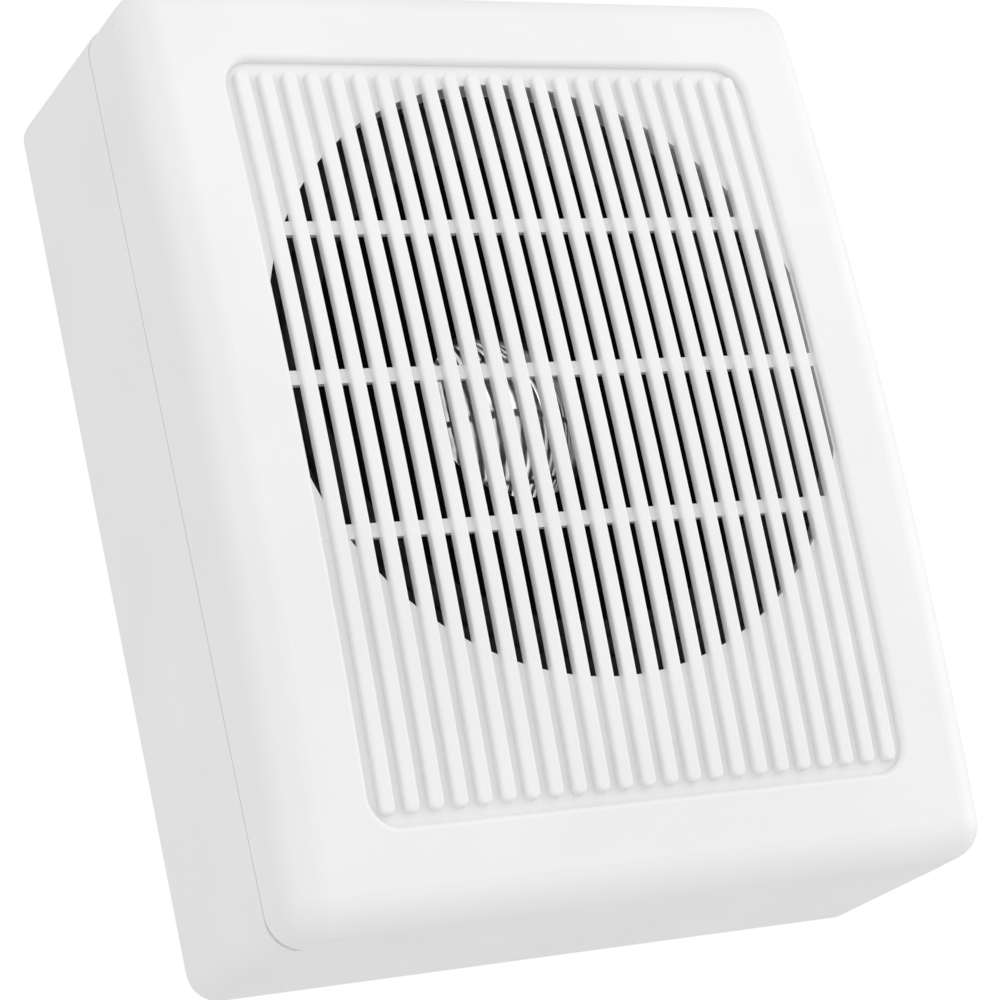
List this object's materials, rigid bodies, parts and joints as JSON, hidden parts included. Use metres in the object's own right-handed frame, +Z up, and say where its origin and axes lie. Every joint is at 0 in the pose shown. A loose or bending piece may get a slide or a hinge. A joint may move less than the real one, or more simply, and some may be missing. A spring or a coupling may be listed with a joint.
{
  "type": "alarm siren",
  "caption": "Wall-mounted indoor alarm siren: two-piece moulded case with a crowned, ribbed face, round slotted grille, cone loudspeaker, driver board and tamper switch.",
  "frame": {"origin": "centre of the four wall fixing holes, on the case's rear face", "axes": "+X to the right as seen from the front, +Y back into the wall, +Z up"},
  "size_m": [0.108, 0.043, 0.131],
  "materials": {
    "case_plastic": "fine satin moulded ABS",
    "black_rubber": "matt",
    "basket_steel": "black electrophoretic paint, satin",
    "gasket_foam": "closed-cell foam, matt",
    "surround_rubber": "matt",
    "cone_paper": "black pressed paper, matt",
    "cap_chrome": "mirror-like metallised film",
    "former_film": "amber polyimide film",
    "copper_enamel": "enamelled copper wire",
    "spider_cloth": "resin-stiffened cotton",
    "zinc_steel": "bright zinc plate",
    "ferrite": "dark sintered ferrite, matt",
    "phenolic": "brown phenolic laminate",
    "tinned_brass": "bright tin",
    "board_laminate": "green solder resist",
    "terminal_green": "green nylon",
    "sink_aluminium": "mill finish",
    "black_plastic": "fine matt",
    "can_sleeve": "dark blue shrink sleeve",
    "resistor_body": "beige lacquer",
    "white_nylon": "natural nylon",
    "wire_red": "PVC",
    "wire_black": "PVC",
    "spring_steel": "bright",
    "link_plastic": "red nylon"
  },
  "bodies": {
    "case": {"rear_box": "case_plastic", "cable_grommet": "black_rubber", "speaker_basket": "basket_steel", "speaker_gasket": "gasket_foam", "speaker_surround": "surround_rubber", "spider": "spider_cloth", "front_plate": "zinc_steel", "speaker_magnet": "ferrite", "magnet_yoke": "zinc_steel", "speaker_screws": "zinc_steel", "tag_strip": "phenolic", "speaker_tags": "tinned_brass", "circuit_board": "board_laminate", "board_screws": "zinc_steel", "terminal_block": "terminal_green", "terminal_screws": "zinc_steel", "heat_sink": "sink_aluminium", "power_transistors": "black_plastic", "transistor_legs": "tinned_brass", "capacitors": "can_sleeve", "driver_chip": "black_plastic", "chip_pins": "tinned_brass", "resistors": "resistor_body", "choke_core": "ferrite", "choke_winding": "copper_enamel", "lead_plug": "white_nylon", "jumper_pins": "black_plastic", "lead_red": "wire_red", "lead_black": "wire_black", "tamper_body": "black_plastic", "tamper_spring": "spring_steel"},
    "cover": {"front_cover": "case_plastic"},
    "diaphragm": {"speaker_cone": "cone_paper", "dust_cap": "cap_chrome", "coil_former": "former_film", "coil_winding": "copper_enamel"},
    "plunger": {"tamper_plunger": "white_nylon"},
    "jumper": {"jumper_link": "link_plastic"}
  },
  "joints": [
    {"name": "cover_hinge", "type": "hinge", "parent": "case", "child": "cover", "pos_m": [0, -0.028, 0.0655], "axis": [-1, 0, 0], "range_deg": [0, 70]},
    {"name": "cone_travel", "type": "slide", "parent": "case", "child": "diaphragm", "axis": [0, -1, 0], "range_m": [-0.0008, 0.0008], "stiffness_N_per_m": 1500, "deforming": ["speaker_surround", "spider"]},
    {"name": "tamper_slide", "type": "slide", "parent": "case", "child": "plunger", "axis": [0, -1, 0], "range_m": [0, 0.0025], "deforming": ["tamper_spring"]},
    {"name": "jumper_pull", "type": "slide", "parent": "case", "child": "jumper", "axis": [0, -1, 0], "range_m": [0, 0.01]}
  ],
  "couplings": [
    {"joint": "tamper_slide", "follows": "cover_hinge", "m_per_rad": 0.002046}
  ]
}
